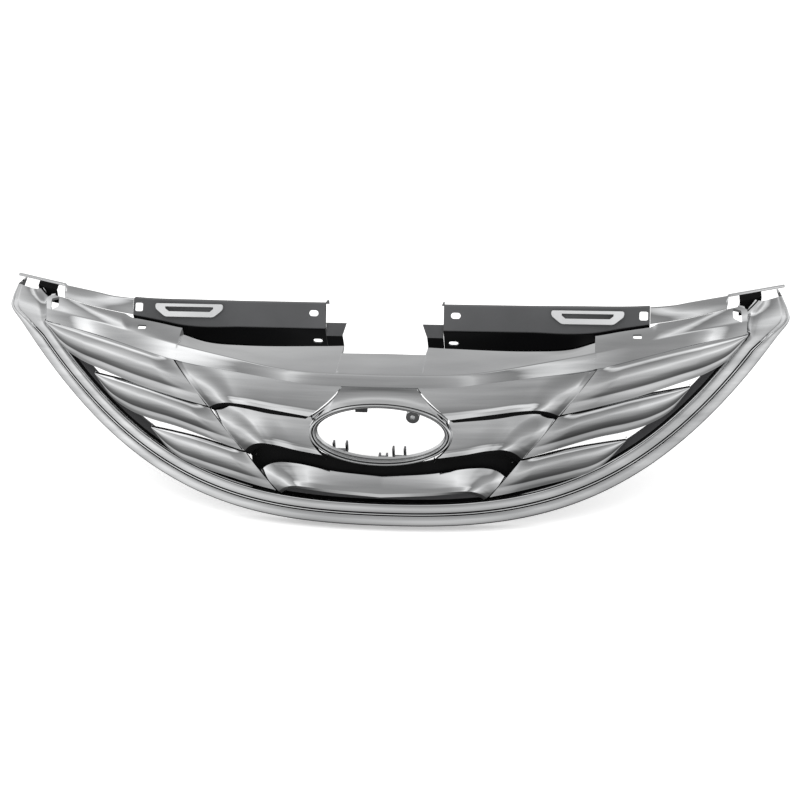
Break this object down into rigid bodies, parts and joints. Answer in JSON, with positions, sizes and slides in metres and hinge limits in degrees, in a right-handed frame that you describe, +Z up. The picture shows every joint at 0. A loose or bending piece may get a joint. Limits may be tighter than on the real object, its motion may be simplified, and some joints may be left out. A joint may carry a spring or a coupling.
{
  "type": "front grille",
  "caption": "Wide swept car front grille: chromed surround, stepped centre louvres with an oval emblem opening, wing blades, and black top carriers.",
  "frame": {"origin": "middle of the footprint in X and Y, at the height of the lowest point of the surround", "axes": "+X across the car, -Y forwards out of the face, +Z up as fitted to the car"},
  "size_m": [1.0686, 0.1928, 0.2897],
  "materials": {
    "chrome_plating": "bright chrome plating on moulded plastic",
    "carrier_gloss_black": "black, glossy as moulded",
    "matte_black": "black, fine grain",
    "pale_seal": "pale grey, satin",
    "zinc": "zinc plated"
  },
  "bodies": {
    "root": {"centre_emblem_socket": "matte_black", "emblem_bezel": "chrome_plating", "emblem_boss": "matte_black", "emblem_bridge": "chrome_plating", "emblem_foot_tab": "matte_black", "emblem_top_tab": "matte_black", "frame_screw_1": "zinc", "frame_screw_10": "zinc", "frame_screw_2": "zinc", "frame_screw_3": "zinc", "frame_screw_4": "zinc", "frame_screw_5": "zinc", "frame_screw_6": "zinc", "frame_screw_7": "zinc", "frame_screw_8": "zinc", "frame_screw_9": "zinc", "left_emblem_socket": "matte_black", "left_latch_bracket": "carrier_gloss_black", "left_lower_wing_blade": "chrome_plating", "left_middle_louvre": "chrome_plating", "left_middle_wing_blade": "chrome_plating", "left_tip_backing": "chrome_plating", "left_top_carrier": "carrier_gloss_black", "left_top_strip": "chrome_plating", "left_upper_louvre": "chrome_plating", "left_upper_wing_blade": "chrome_plating", "left_window_frame": "pale_seal", "left_wing_cap": "chrome_plating", "lower_baffle": "chrome_plating", "lower_louvre": "chrome_plating", "outer_surround": "chrome_plating", "rear_frame": "matte_black", "right_latch_bracket": "carrier_gloss_black", "right_lower_wing_blade": "chrome_plating", "right_middle_louvre": "chrome_plating", "right_middle_wing_blade": "chrome_plating", "right_tip_backing": "chrome_plating", "right_top_carrier": "carrier_gloss_black", "right_top_strip": "chrome_plating", "right_upper_louvre": "chrome_plating", "right_upper_wing_blade": "chrome_plating", "right_window_frame": "pale_seal", "right_wing_cap": "chrome_plating", "surround_liner": "matte_black", "top_bar": "chrome_plating"}
  },
  "joints": []
}
